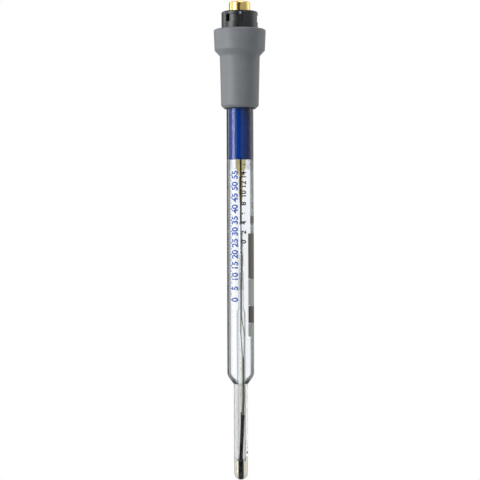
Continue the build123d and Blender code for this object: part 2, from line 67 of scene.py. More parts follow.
# Inner tube: its shoulder, neck and waist, its mouth round the lead, and its sideways shift
INNER = 1.45
INNER_BORE = 1.15
INNER_SHOULDER = 73.7
NECK_FOOT = 76.3
NECK_FOOT_RADIUS = 0.95
NECK = 0.725
NECK_WALL = 0.24
WAIST = 93.6
WAIST_REACH = 1.9
WAIST_RADIUS = 0.525
WAIST_WALL = 0.175
INNER_TOP = 114.3
DOME = 2.2
INNER_MOUTH = 0.44
INNER_MOUTH_WALL = 0.12
INNER_SHIFT = 0.2

# Bends of the blown glass, then its edges: melted at a mouth, polished at a joint, sharp if ground
SHOULDER_BEND = 4.8
SHOULDER_BEND_INSIDE = 3.8
FOOT_BEND = 0.5
INNER_BEND = 1.2
NECK_BEND = 0.8
WAIST_BEND = 1.5
DOME_BEND = 0.4
MELTED = 0.25
JOINT_EDGE = 0.09
POLISHED = 0.05
GROUND = 0.03

# A closed outline starts this far in from the outside, on the flat end of the glass
START = 0.4
STEM_START = 0.3

# Liquids, silicone and plug. They reach a little into the glass round them, so no air lies between
WETTING = 0.025
LIQUID_CORNER = 0.2
LIQUID_TOP = 137.5
PLUG_FOOT = 141.8
PLUG_TOP = TUBE_TOP - 0.5
PLUG_BEVEL = 0.35
PLUG_BEVEL_HEIGHT = 0.6
PLUG_EDGE = 0.1
PLUG_BEVEL_BEND = 0.2
SILICONE_GAP = 0.02

# Level of the buffer, and its hollow meniscus as (radius, height over the level), edge first
BUFFER_LEVEL = 90.9
MENISCUS_EDGE = (0.5, 0.3)
MENISCUS = ((0.4, 0.1), (0.2, 0.0), (0.0, -0.03))

# Bubbles in the silicone: how many, how far out, between which angles from +X, how high over its
# foot, and their radii
BUBBLE_COUNT = 26
BUBBLE_REACH = (1.2, 4.1)
BUBBLE_TURN = (-100, 90)
BUBBLE_HEIGHT = (0.5, 3.7)
BUBBLE_RADIUS = (0.12, 0.38)

# Printing: its thickness, then the panel's fields as (height, height), then the scales
PRINT_LOW = SHAFT + 0.004
PRINT_HIGH = SHAFT + 0.018
PANEL_SIDES = (35, 155)
LOWER_WHITE = (63.7, 69.5)
BROWN = (69.7, 77.2)
UPPER_WHITE = (77.4, 89.0)
OLIVE = (89.2, 109.2)
BAR_SIDES = (47, 143)
BAR = (113.6, 116.8)
LINE_SIDES = (56, 58)
LINE = (109.3, 113.5)
SCALE_FOOT = 80.0
TICK_COUNT = 23
TICK_STEP = 2.5
TICK_WIDTH = 0.5
TICK_SIDE = -45
TICK_ENDS = (-38, -41)
BLUE_COUNT = 12
BLUE_AZIMUTH = -22.5
BLUE_HEIGHT = 3.9
BLUE_STEP = 5
BLACK_COUNT = 8
BLACK_AZIMUTH = 15
BLACK_HEIGHT = 3.2
BLACK_FOOT = 105.5
BLACK_STEP = 4.2
BLACK_UNITS = 2
BOLDNESS = 0.035

# Stage, in metres: the floor, the cards and lamps that face the middle of the object, the camera
FLOOR_DEPTH = 0.1
FLOOR_RADIUS = 0.5
FLOOR_CORNERS = 96
PALE_RADIUS = 0.1
STAGE_MIDDLE = 0.12
CARD_DISTANCE = 0.9
CARD_HEIGHT = 0.9
LAMP_DISTANCE = 0.6
VIEW_DISTANCE = 0.75
VIEW_HEIGHT = 0.1063
VIEW_SHIFT = -0.000155
VIEW_LEAN = radians(0.18)
LENS = 126.8
BOUNCES = 40


# Colours and nodes


def linear(code):
    """Linear RGBA of an sRGB colour written as hex: ((c + 0.055) / 1.055) ** 2.4 above 0.04045."""
    shares = [int(code[i:i + 2], 16) / 255 for i in (0, 2, 4)]
    return [c / 12.92 if c <= 0.04045 else ((c + 0.055) / 1.055) ** 2.4 for c in shares] + [1.0]


def node(tree, kind, links=(), **settings):
    """Adds a shader node: settings are its properties or, after in_, its inputs by name."""
    made = tree.nodes.new(kind)
    for name, value in settings.items():
        if name.startswith("in_"):
            made.inputs[name[3:].replace("_", " ")].default_value = value
        else:
            setattr(made, name, value)
    for source, target in links:
        tree.links.new(source, made.inputs[target])
    return made


def material(name, colour, roughness, **inputs):
    """A new material of one Principled shader. The inputs are its sockets, with _ for spaces."""
    made = bpy.data.materials.new(name)
    made.use_nodes = True
    made.diffuse_color = linear(colour)
    sockets = made.node_tree.nodes["Principled BSDF"].inputs
    sockets["Base Color"].default_value = linear(colour)
    sockets["Roughness"].default_value = roughness
    for key, value in inputs.items():
        sockets[key.replace("_", " ")].default_value = value
    return made


def random_cells(tree, width, detail, stretch=(1.0, 1.0, 1.0)):
    """A value from 0 to 1 that drifts over random cells of a width in millimetres."""
    coords = node(tree, "ShaderNodeTexCoord")
    mapping = node(tree, "ShaderNodeMapping", [(coords.outputs["Object"], "Vector")],
                   in_Scale=[s / (width * MM) for s in stretch])
    noise = node(tree, "ShaderNodeTexNoise", [(mapping.outputs[0], "Vector")], in_Scale=1.0,
                 in_Detail=detail)
    return noise.outputs["Fac"]


def between(tree, share, low, high, start, full):
    """A colour that goes from low to high as a share goes from start to full."""
    span = node(tree, "ShaderNodeMapRange", [(share, "Value")], in_From_Min=start, in_From_Max=full)
    mix = node(tree, "ShaderNodeMix", [(span.outputs[0], 0)], data_type="RGBA")
    mix.inputs[6].default_value = linear(low)
    mix.inputs[7].default_value = linear(high)
    return mix.outputs[2]


def mottled(look, width, low, high, detail=3.0):
    """Lets a look's colour drift from low to high over cells of a width in millimetres."""
    tree = look.node_tree
    drift = between(tree, random_cells(tree, width, detail), low, high, 0.3, 0.7)
    tree.links.new(drift, tree.nodes["Principled BSDF"].inputs["Base Color"])


def grained(look, width, depth, detail=3.0, stretch=(1.0, 1.0, 1.0)):
    """Gives a look a relief of a depth over cells of a width, both in millimetres."""
    tree = look.node_tree
    relief = node(tree, "ShaderNodeBump", [(random_cells(tree, width, detail, stretch), "Height")],
                  in_Strength=1.0, in_Distance=depth * MM)
    tree.links.new(relief.outputs[0], tree.nodes["Principled BSDF"].inputs["Normal"])


def glass(name, index, body, edge, start, full):
    """Clear refracting solid whose tint goes from body, seen square on, to edge, seen aslant.

    The tint turns from start to full, as shares of the way from square on to edge on. Light from
    the lamps passes straight through, so that what is inside is lit.
    """
    look = material(name, body, 0.0, IOR=index, Transmission_Weight=1.0)
    tree = look.node_tree
    shader = tree.nodes["Principled BSDF"]
    # Painted shade: the tint darkens to edge where the wall is seen aslant, standing in for dark
    # surroundings
    slant = node(tree, "ShaderNodeLayerWeight", in_Blend=0.5)
    tint = between(tree, slant.outputs["Facing"], body, edge, start, full)
    tree.links.new(tint, shader.inputs["Base Color"])
    path = node(tree, "ShaderNodeLightPath")
    clear = node(tree, "ShaderNodeBsdfTransparent")
    mix = node(tree, "ShaderNodeMixShader", [(path.outputs["Is Shadow Ray"], 0),
                                             (shader.outputs[0], 1), (clear.outputs[0], 2)])
    tree.links.new(mix.outputs[0], tree.nodes["Material Output"].inputs["Surface"])
    return look


# Outlines, as rows of (radius, height, shift)


def rounded(corners, steps=9):
    """Rows of an outline given by corners (radius, height, shift, bend), whose bends become arcs.

    With h for half the angle between a corner's two runs, the centre of an arc of radius r lies
    r / sin h from the corner, on the line that halves the angle. The arc starts r / tan h before
    the corner and ends as far after it, and its points are centre + r * (cos a, sin a), with a in
    equal steps. The first and last corners stay sharp.
    """
    rows = []
    for i, (r, z, shift, bend) in enumerate(corners):
        if bend == 0 or i in (0, len(corners) - 1):
            rows.append([[r, z, shift]])
            continue
        here = np.array([r, z])
        to_last = np.array(corners[i - 1][:2]) - here
        to_next = np.array(corners[i + 1][:2]) - here
        to_last, to_next = to_last / np.hypot(*to_last), to_next / np.hypot(*to_next)
        half = np.arccos(np.clip(to_last @ to_next, -1, 1)) / 2
        middle = (to_last + to_next) / np.hypot(*(to_last + to_next))
        centre = here + middle * bend / sin(half)
        first = here + to_last * bend / tan(half) - centre
        last = here + to_next * bend / tan(half) - centre
        a0, a1 = atan2(first[1], first[0]), atan2(last[1], last[0])
        turn = (a1 - a0 + np.pi) % (2 * np.pi) - np.pi
        a = a0 + turn * np.linspace(0, 1, steps)
        rows.append(np.stack([centre[0] + bend * np.cos(a), centre[1] + bend * np.sin(a),
                              np.full(steps, shift)], axis=1))
    return np.vstack(rows)


def round_end(radius, centre, steps=40):
    """Rows of a quarter circle from the axis to the side: (r sin a, centre - r cos a)."""
    a = np.linspace(0, np.pi / 2, steps)
    return np.stack([radius * np.sin(a), centre - radius * np.cos(a), np.zeros(steps)], axis=1)


def dense(rows, longest=2.0):
    """The outline with its long runs cut into equal parts, none longer than a length.

    The rows are interpolated over a count that grows along each run by its number of parts.
    """
    runs = np.hypot(*np.diff(rows[:, :2], axis=0).T)
    parts = np.maximum(1, np.ceil(runs / longest))
    at_rows = np.concatenate([[0], np.cumsum(parts)])
    count = np.arange(at_rows[-1] + 1)
    return np.stack([np.interp(count, at_rows, column) for column in rows.T], axis=1)


def inner_outline(inside, grow=0.0):
    """Corners of the inner tube from its shoulder up, outside or inside, moved outwards by grow."""
    wall = int(inside)
    neck = NECK - NECK_WALL * wall + grow
    return [
        (INNER - (INNER - INNER_BORE) * wall + grow, INNER_SHOULDER, INNER_SHIFT, INNER_BEND),
        (NECK_FOOT_RADIUS - NECK_WALL * wall + grow, NECK_FOOT, INNER_SHIFT, INNER_BEND),
        (neck, WAIST - WAIST_REACH, INNER_SHIFT, NECK_BEND),
        (WAIST_RADIUS - WAIST_WALL * wall + grow, WAIST, INNER_SHIFT, WAIST_BEND),
        (neck, WAIST + WAIST_REACH, INNER_SHIFT, NECK_BEND),
        (neck, INNER_TOP - DOME + NECK_WALL * wall, INNER_SHIFT, DOME_BEND),
        (INNER_MOUTH - INNER_MOUTH_WALL * wall + grow, INNER_TOP, INNER_SHIFT, 0)]


# Surfaces


def mesh_piece(name, vertices, faces, look, smooth=True):
    """A piece of the object from vertices in millimetres and faces, at the origin."""
    mesh = bpy.data.meshes.new(name)
    mesh.from_pydata((np.asarray(vertices, dtype=float) * MM).tolist(), [], faces)
    mesh.polygons.foreach_set("use_smooth", np.full(len(mesh.polygons), smooth))
    mesh.materials.append(look)
    mesh.validate()
    piece = bpy.data.objects.new(name, mesh)
    scene.collection.objects.link(piece)
    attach(piece, "root")
    return piece


def lathe(name, outline, look, segments=160, loop=False):
    """Surface x = shift + r cos t, y = r sin t, z = height over an outline of (r, height, shift).

    The outline runs upwards on the outside. It starts and ends on the axis, or closes on itself.
    """
    rings = outline if loop else outline[1:-1]
    count = len(rings)
    t = np.linspace(0, 2 * np.pi, segments, endpoint=False)
    x = rings[:, 2:3] + rings[:, 0:1] * np.cos(t)
    y = rings[:, 0:1] * np.sin(t)
    z = np.repeat(rings[:, 1:2], segments, axis=1)
    vertices = np.stack([x, y, z], axis=2).reshape(-1, 3)
    low = np.arange(count if loop else count - 1)[:, None] * segments
    high = (low + segments) % (count * segments)
    j = np.arange(segments)
    n = (j + 1) % segments
    faces = np.stack([low + j, low + n, high + n, high + j], axis=2).reshape(-1, 4).tolist()
    if not loop:
        foot, top = count * segments, count * segments + 1
        last = (count - 1) * segments
        ends = outline[[0, -1]]
        vertices = np.vstack([vertices, np.stack([ends[:, 2], [0, 0], ends[:, 1]], axis=1)])
        faces += np.stack([np.full(segments, foot), n, j], axis=1).tolist()
        faces += np.stack([np.full(segments, top), last + j, last + n], axis=1).tolist()
    return mesh_piece(name, vertices, faces, look)


def inward_look(piece, look, above=0.0):
    """Gives look to the faces over a height that point at the axis: those with x nx + y ny below 0."""
    piece.data.materials.append(look)
    count = len(piece.data.polygons)
    middle, normal = np.empty(3 * count), np.empty(3 * count)
    piece.data.polygons.foreach_get("center", middle)
    piece.data.polygons.foreach_get("normal", normal)
    inward = (middle * normal).reshape(-1, 3)[:, :2].sum(axis=1) < 0
    inward &= middle[2::3] > above * MM
    piece.data.polygons.foreach_set("material_index", inward.astype(int))


def bubbles(name, centres, radii, look, around=16, bands=8):
    """Air bubbles, spheres centre + r * (cos a cos b, sin a cos b, sin b), with b from pole to pole.

    Their faces point at the air inside, out of the solid round them.
    """
    a, b = np.meshgrid(np.linspace(0, 2 * np.pi, around, endpoint=False),
                       np.linspace(-np.pi / 2, np.pi / 2, bands + 1)[1:-1])
    rings = np.stack([np.cos(a) * np.cos(b), np.sin(a) * np.cos(b), np.sin(b)], axis=2)
    unit = np.vstack([rings.reshape(-1, 3), [[0, 0, -1], [0, 0, 1]]])
    low = np.arange(bands - 2)[:, None] * around
    j = np.arange(around)
    n = (j + 1) % around
    quads = np.stack([low + j, low + around + j, low + around + n, low + n], axis=2).reshape(-1, 4)
    foot, top = len(unit) - 2, len(unit) - 1
    last = (bands - 2) * around
    caps = np.vstack([np.stack([np.full(around, foot), j, n], axis=1),
                      np.stack([np.full(around, top), last + n, last + j], axis=1)])
    vertices = (centres[:, None] + radii[:, None, None] * unit).reshape(-1, 3)
    start = np.arange(len(centres))[:, None, None] * len(unit)
    faces = (start + quads).reshape(-1, 4).tolist() + (start + caps).reshape(-1, 3).tolist()
    return mesh_piece(name, vertices, faces, look)


def printed_boxes(name, boxes, look, segments=30):
    """Thin plates of print on the shaft, each (azimuth, azimuth, height, height).

    Points are (r sin a, -r cos a, z), with a in equal steps between the two azimuths.
    """
    boxes = np.array(boxes, dtype=float)
    a = np.radians(boxes[:, 0:1] + (boxes[:, 1:2] - boxes[:, 0:1]) * np.linspace(0, 1, segments + 1))
    corners = []
    for radius, side in ((PRINT_LOW, 2), (PRINT_HIGH, 2), (PRINT_HIGH, 3), (PRINT_LOW, 3)):
        z = np.repeat(boxes[:, side:side + 1], segments + 1, axis=1)
        corners.append(np.stack([radius * np.sin(a), -radius * np.cos(a), z], axis=2))
    vertices = np.stack(corners, axis=2).reshape(-1, 3)
    base = (np.arange(len(boxes)) * 4 * (segments + 1))[:, None, None]
    step = (4 * np.arange(segments))[None, :, None]
    edge = np.arange(4)[None, None, :]
    after = (edge + 1) % 4
    sides = np.stack([base + step + edge, base + step + 4 + edge, base + step + 4 + after,
                      base + step + after], axis=3).reshape(-1, 4)
    first = base[:, 0] + np.array([[0, 1, 2, 3]])
    last = base[:, 0] + 4 * segments + np.array([[3, 2, 1, 0]])
    faces = np.vstack([sides, first, last])
    return mesh_piece(name, vertices, faces.tolist(), look, smooth=False)


def figures(name, texts, azimuth, letter, look):
    """Numbers that read upwards on the shaft, from pairs of (text, height).

    A point (x, y) of the flat text goes to a = azimuth - y / shaft radius and z = height + x, and
    stands at (r sin a, -r cos a, z).
    """
    vertices, faces, count = [], [], 0
    for text, height in texts:
        curve = bpy.data.curves.new(name, "FONT")
        curve.body, curve.size, curve.align_x, curve.align_y = text, letter, "CENTER", "CENTER"
        curve.offset = BOLDNESS * letter
        source = bpy.data.objects.new(name, curve)
        flat = bpy.data.meshes.new_from_object(source)
        points = np.empty(3 * len(flat.vertices))
        flat.vertices.foreach_get("co", points)
        points = points.reshape(-1, 3)
        flat.calc_loop_triangles()
        corners = np.empty(3 * len(flat.loop_triangles), dtype=int)
        flat.loop_triangles.foreach_get("vertices", corners)
        a = radians(azimuth) - points[:, 1] / SHAFT
        vertices.append(np.stack([PRINT_HIGH * np.sin(a), -PRINT_HIGH * np.cos(a),
                                  height + points[:, 0]], axis=1))
        faces.append(corners.reshape(-1, 3) + count)
        count += len(points)
        bpy.data.objects.remove(source)
        bpy.data.curves.remove(curve)
        bpy.data.meshes.remove(flat)
    return mesh_piece(name, np.vstack(vertices), np.vstack(faces).tolist(), look, smooth=False)


def dress(look, *names):
    """Gives a look to the CAD nodes of those names."""
    for name in names:
        nodes[name].data.materials.clear()
        nodes[name].data.materials.append(look)


# Where a liquid wets the glass, light passes from one to the other. That face takes the ratio of
# their indices, and the liquid's own surface takes 1, so that nothing is bent twice. Silicone and
# resin against the liquid take such a ratio too.
GLASS_INDEX = 1.47
MEMBRANE_INDEX = 1.5
SILICONE_INDEX = 1.41
LIQUID_INDEX = 1.34
WET_INDEX = GLASS_INDEX / LIQUID_INDEX
WET_SILICONE_INDEX = 1.05
WET_RESIN_INDEX = 1.12
NO_BEND = 1.0

# Borosilicate glass of the shaft, drawn to tube: clear, with walls greyed aslant by painted shade
shaft_glass = glass("borosilicate glass of the shaft", GLASS_INDEX, "f8fafc", "343635", 0.26, 0.36)
wet_shaft_glass = glass("wet glass of the shaft", WET_INDEX, "fafbfc", "8a8c8a", 0.3, 0.5)

# The same glass drawn thinner for the stem, its edges greyed only lightly by painted shade
stem_glass = glass("borosilicate glass of the stem", GLASS_INDEX, "e8e8ea", "b4b6ba", 0.3, 0.9)
wet_stem_glass = glass("wet glass of the stem", WET_INDEX, "ecece9", "c4c6ca", 0.3, 0.8)

# Borosilicate glass of the inner tube, blown: thin grey lines of painted shade where its wall turns
# away
inner_glass = glass("wet glass of the inner tube", WET_INDEX, "fbfcfd", "5c5e62", 0.35, 0.8)
dry_inner_glass = glass("dry glass of the inner tube", GLASS_INDEX, "fbfcfd", "8c8e92", 0.4, 0.9)

# Lithium glass of the membrane, blown thin: a faintly warm grey, greyer aslant by painted shade
membrane_glass = glass("lithium glass of the membrane", MEMBRANE_INDEX, "e6e4df", "b9b7b1", 0.35, 0.9)
wet_membrane_glass = glass("wet glass of the membrane", MEMBRANE_INDEX / LIQUID_INDEX, "e8e6e1",
                           "b9b7b1", 0.35, 0.9)

# Potassium chloride solution: water-clear, with faint painted shade seen aslant
solution = glass("potassium chloride solution", NO_BEND, "fdfeff", "f4f6f8", 0.5, 1.0)

# Buffer solution: water-clear with a breath of warmth, and faint painted shade seen aslant
buffer_solution = glass("buffer solution", NO_BEND, "fbfaf6", "f2f0ea", 0.5, 1.0)

# Clear silicone, cast on the solution: slightly milky, with bubbles that glint
# Painted shade greys the silicone and the bubbles' walls where they are seen aslant
clear_silicone = glass("clear cast silicone", WET_SILICONE_INDEX, "e4e7ea", "b4b8be", 0.3, 0.9)
bubble_wall = glass("air bubble in silicone", SILICONE_INDEX, "f4f5f6", "a8aab0", 0.3, 0.9)

# Blue silicone, cast against the glass: deep and nearly even, and it hardly shines behind it
blue_silicone = material("blue silicone", "0044a8", 0.55, Specular_IOR_Level=0.05)
mottled(blue_silicone, 1.25, "0040a0", "0048b0")


# Glass, liquids and silicone, as smooth turned surfaces

# Inside of the shoulder: its slope is a wall's thickness in from the outside's, square to it
cone_start = JOINT_RADIUS - (SHAFT - SHAFT_BORE) / cos(SLOPE_ANGLE)
cone_foot = JOINT + (STEM_BORE - cone_start) / tan(SLOPE_ANGLE)
cone_top = JOINT + (SHAFT_BORE - cone_start) / tan(SLOPE_ANGLE)
shoulder_top = JOINT + (SHAFT - JOINT_RADIUS) / tan(SLOPE_ANGLE)

shaft_piece = lathe("shaft_glass", dense(rounded([
    (JOINT_RADIUS - START, JOINT, 0, 0),
    (JOINT_RADIUS, JOINT, 0, JOINT_EDGE),
    (SHAFT, shoulder_top, 0, SHOULDER_BEND),
    (SHAFT, GROUND_SEAT, 0, GROUND),
    (SHAFT - SEAT_STEP, GROUND_SEAT, 0, GROUND),
    (SHAFT - SEAT_STEP, TUBE_TOP, 0, MELTED),
    (SHAFT_BORE, TUBE_TOP, 0, MELTED),
    (SHAFT_BORE, cone_top, 0, SHOULDER_BEND_INSIDE),
    (STEM_BORE, cone_foot, 0, FOOT_BEND),
    (STEM_BORE, JOINT, 0, POLISHED),
    (JOINT_RADIUS - START, JOINT, 0, 0)])[:-1]), shaft_glass, loop=True)
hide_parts("shaft_tube")
inward_look(shaft_piece, wet_shaft_glass)

stem_piece = lathe("stem_glass", dense(rounded([
    (STEM - STEM_START, SEAL_RING_FOOT, 0, 0),
    (STEM, SEAL_RING_FOOT, 0, POLISHED),
    (STEM, JOINT, 0, POLISHED),
    (STEM_BORE, JOINT, 0, POLISHED),
    (STEM_BORE, SEAL_RING_TOP, 0, FOOT_BEND),
    (INNER, SEAL_RING_TOP, INNER_SHIFT, POLISHED),
    (INNER, SEAL_RING_FOOT, INNER_SHIFT, POLISHED),
    (STEM - STEM_START, SEAL_RING_FOOT, 0, 0)])[:-1]), stem_glass, loop=True)
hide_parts("stem_tube")
inward_look(stem_piece, wet_stem_glass)

# The membrane is a tube over a round end, and the outline of its tube starts at MEMBRANE_SIDE, a
# little over the height where the round end stops
membrane_piece = lathe("membrane_glass", dense(np.vstack([
    round_end(MEMBRANE, MEMBRANE),
    rounded([
        (MEMBRANE, MEMBRANE_SIDE, 0, 0),
        (MEMBRANE, SEAL_RING_FOOT, 0, POLISHED),
        (MEMBRANE_BORE, SEAL_RING_FOOT, 0, POLISHED),
        (MEMBRANE_BORE, MEMBRANE_SIDE, 0, 0)]),
    round_end(MEMBRANE_BORE, MEMBRANE)[::-1]])), membrane_glass)
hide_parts("ph_membrane")
inward_look(membrane_piece, wet_membrane_glass)

outside = rounded([(INNER, SEAL_RING_FOOT, INNER_SHIFT, 0)] + inner_outline(False))
inside = rounded([(INNER_BORE, SEAL_RING_FOOT, INNER_SHIFT, 0)] + inner_outline(True))
inner_piece = lathe("inner_glass", dense(np.vstack([outside, inside[::-1]])), inner_glass,
                    segments=96, loop=True)
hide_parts("inner_tube")
inward_look(inner_piece, dry_inner_glass, BUFFER_LEVEL)

# Reference electrolyte: from the top of its hollow down round the inner tube, then up the bore
liquid_foot = SEAL_RING_TOP - WETTING
hollow = rounded([(INNER - WETTING, liquid_foot, INNER_SHIFT, 0)] + inner_outline(False, -WETTING))
electrolyte = lathe("reference_liquid", dense(np.vstack([
    [[0, INNER_TOP, INNER_SHIFT]],
    hollow[::-1],
    rounded([
        (STEM_BORE - STEM_START, liquid_foot, 0, 0),
        (STEM_BORE + WETTING, liquid_foot, 0, LIQUID_CORNER),
        (STEM_BORE + WETTING, cone_foot, 0, FOOT_BEND),
        (SHAFT_BORE + WETTING, cone_top, 0, SHOULDER_BEND_INSIDE),
        (SHAFT_BORE + WETTING, LIQUID_TOP, 0, GROUND),
        (0, LIQUID_TOP, 0, 0)])])), solution)
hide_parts("reference_electrolyte")

# Buffer: the membrane's inside, then the inner tube up to a hollow meniscus
buffer_piece = lathe("buffer_liquid", dense(np.vstack([
    round_end(MEMBRANE_BORE + WETTING, MEMBRANE),
    [[MEMBRANE_BORE + WETTING, SEAL_RING_FOOT + WETTING, 0]],
    rounded([
        (INNER_BORE + WETTING, SEAL_RING_FOOT + WETTING, INNER_SHIFT, 0),
        (INNER_BORE + WETTING, INNER_SHOULDER, INNER_SHIFT, INNER_BEND),
        (NECK_FOOT_RADIUS - NECK_WALL + WETTING, NECK_FOOT, INNER_SHIFT, INNER_BEND),
        (MENISCUS_EDGE[0] + WETTING, BUFFER_LEVEL + MENISCUS_EDGE[1], INNER_SHIFT, 0)]),
    [[r, BUFFER_LEVEL + rise, INNER_SHIFT] for r, rise in MENISCUS]])),
    buffer_solution, segments=96)
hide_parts("inner_buffer")

silicone_piece = lathe("silicone_seal", dense(rounded([
    (0, LIQUID_TOP - WETTING, 0, 0),
    (SHAFT_BORE + WETTING, LIQUID_TOP - WETTING, 0, GROUND),
    (SHAFT_BORE + WETTING, PLUG_FOOT - SILICONE_GAP, 0, GROUND),
    (0, PLUG_FOOT - SILICONE_GAP, 0, 0)])), clear_silicone)
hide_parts("tube_seal")

plug_piece = lathe("silicone_plug", dense(rounded([
    (0, PLUG_FOOT, 0, 0),
    (SHAFT_BORE - PLUG_BEVEL, PLUG_FOOT, 0, PLUG_EDGE),
    (SHAFT_BORE + WETTING, PLUG_FOOT + PLUG_BEVEL_HEIGHT, 0, PLUG_BEVEL_BEND),
    (SHAFT_BORE + WETTING, PLUG_TOP, 0, PLUG_EDGE),
    (0, PLUG_TOP, 0, 0)])), blue_silicone)
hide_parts("blue_plug")


def spread_over(ends, shares):
    """Values between two ends: low + (high - low) * share."""
    return ends[0] + (ends[1] - ends[0]) * shares


# Each bubble has random shares, squared for its size, so that most bubbles are small
spots = np.random.default_rng(7).uniform(0, 1, (BUBBLE_COUNT, 4))
reach = spread_over(BUBBLE_REACH, spots[:, 0])
turn = np.radians(spread_over(BUBBLE_TURN, spots[:, 1]))
height = LIQUID_TOP + spread_over(BUBBLE_HEIGHT, spots[:, 2])
bubbles("seal_bubbles", np.stack([reach * np.cos(turn), reach * np.sin(turn), height], axis=1),
        spread_over(BUBBLE_RADIUS, spots[:, 3] ** 2), bubble_wall)


# Looks of the CAD nodes

# The grain, skin, pores and crystals below are drawn coarser than they are, to show at all

# Grey plastic of the cap, injection-moulded: satin, with a fine spark-eroded grain
cap_plastic = material("grey moulded plastic", "6e7276", 0.52)
mottled(cap_plastic, 4.0, "6b6f73", "717579")
grained(cap_plastic, 1 / 6, 0.012, detail=2.0)
dress(cap_plastic, "cap")

# Black rubber of the mouth ring and the O-ring, moulded: dull, with a fine skin
black_rubber = material("black rubber", "1d1e1f", 0.6)
grained(black_rubber, 1 / 8, 0.01, detail=2.0)
dress(black_rubber, "mouth_ring", "connector_seal")

# Black glass-filled plastic of the connector, moulded: mottled, with broken highlights
black_plastic = material("black glass-filled plastic", "191b1c", 0.32)
mottled(black_plastic, 0.625, "141617", "232628", detail=4.0)
grained(black_plastic, 1 / 3, 0.02)
dress(black_plastic, "connector_body")

# Pale grey plastic of the index dot, moulded: smooth and plain
pale_plastic = material("pale grey plastic", "9aa2a8", 0.45)
dress(pale_plastic, "index_dot")

# Gold plating on turned brass: warm metal, with fine turning marks that run round the axis
gold = material("gold plating", "e2c67c", 0.2, Metallic=1.0)
grained(gold, 5 / 6, 0.006, stretch=(0.3, 0.3, 9.0))
dress(gold, "coax_shell", "coax_pin", "contact_pins")

# White fluoropolymer of the insulator, turned: waxy and even
fluoropolymer = material("white fluoropolymer", "e6e5df", 0.4)
dress(fluoropolymer, "coax_insulator")

# Silver wire, drawn: bright and smooth
silver = material("silver wire", "c9c9c6", 0.25, Metallic=1.0)
dress(silver, "inner_wire", "reference_wire")

# Silver chloride, grown on the silver: grey-brown, dull and rough
chloride = material("silver chloride", "6c6660", 0.8)
grained(chloride, 1 / 6, 0.02)
dress(chloride, "inner_element", "reference_element")

# What lies in liquid or resin hardly shines, because light bends little between the two

# Black sleeve of the temperature sensor, heat-shrunk: smooth and nearly without shine
sleeve_plastic = material("black heat-shrunk sleeve", "0b0e11", 0.4, Specular_IOR_Level=0.08)
dress(sleeve_plastic, "sensor_sleeve")

# Khaki insulation of the sensor's cable, extruded: smooth and even
khaki_insulation = material("khaki cable insulation", "8a876c", 0.5, Specular_IOR_Level=0.1)
dress(khaki_insulation, "sensor_cable")

# Dark insulation of the leads, extruded: a brownish black line down the middle
dark_insulation = material("dark lead insulation", "36322b", 0.45, Specular_IOR_Level=0.1)
dress(dark_insulation, "lead_cable", "head_wires")

# Grey enamel of the two thin wires: fine lines, lighter than the cable
wire_enamel = material("grey wire enamel", "9a978e", 0.45, Specular_IOR_Level=0.1)
dress(wire_enamel, "sensor_wires")

# Amber resin, set as a drop: pale amber, brown with painted shade where seen aslant; the lead shows
# through
amber_resin = glass("amber resin", WET_RESIN_INDEX, "d3c38c", "8d7a48", 0.2, 0.8)
dress(amber_resin, "lead_seal")

# Porous ceramic of the junction, sintered: dull, and dark where it is soaked
ceramic = material("porous ceramic", "6a655f", 0.85)
grained(ceramic, 1 / 9, 0.03)
dress(ceramic, "ceramic_junction")

# Glaze of the thermistor's bead, and the potting resin, cast in the head: glossy, and both hidden
bead_glaze = material("glazed thermistor bead", "39302a", 0.25)
dress(bead_glaze, "thermistor_bead")
potting_resin = material("black potting resin", "202124", 0.4)
dress(potting_resin, "head_potting")


# Printing on the glass: plain fields on the right, and generic scales on the left and in front

# Ceramic enamels, screen-printed and fired: flat colours with a soft shine
olive_enamel = material("olive printing enamel", "5d594f", 0.5)
brown_enamel = material("brown printing enamel", "49403c", 0.5)
# The pale enamel is white print, given the grey it shows in shade on the right side: painted shade
shaded_white_enamel = material("white printing enamel in painted shade", "aab0ab", 0.5)
blue_enamel = material("blue printing enamel", "1f4aa6", 0.5)
dark_enamel = material("black printing enamel", "33353a", 0.5)

printed_boxes("olive_field", [(*PANEL_SIDES, *OLIVE), (*BAR_SIDES, *BAR)], olive_enamel)
printed_boxes("brown_field", [(*PANEL_SIDES, *BROWN)], brown_enamel)
printed_boxes("pale_field", [(*PANEL_SIDES, *LOWER_WHITE), (*PANEL_SIDES, *UPPER_WHITE)], shaded_white_enamel)
printed_boxes("panel_line", [(*LINE_SIDES, *LINE)], dark_enamel, segments=2)

# Every second tick is shorter
tick_middles = SCALE_FOOT + TICK_STEP * np.arange(TICK_COUNT)
printed_boxes("blue_scale",
              [(TICK_SIDE, TICK_ENDS[k % 2], z - TICK_WIDTH / 2, z + TICK_WIDTH / 2)
               for k, z in enumerate(tick_middles)], blue_enamel, segments=6)
figures("blue_figures",
        [(str(BLUE_STEP * k), SCALE_FOOT + BLUE_STEP * k) for k in range(BLUE_COUNT)],
        BLUE_AZIMUTH, BLUE_HEIGHT, blue_enamel)
figures("black_figures",
        [(str(BLACK_UNITS * k), BLACK_FOOT + BLACK_STEP * k) for k in range(BLACK_COUNT)],
        BLACK_AZIMUTH, BLACK_HEIGHT, dark_enamel)


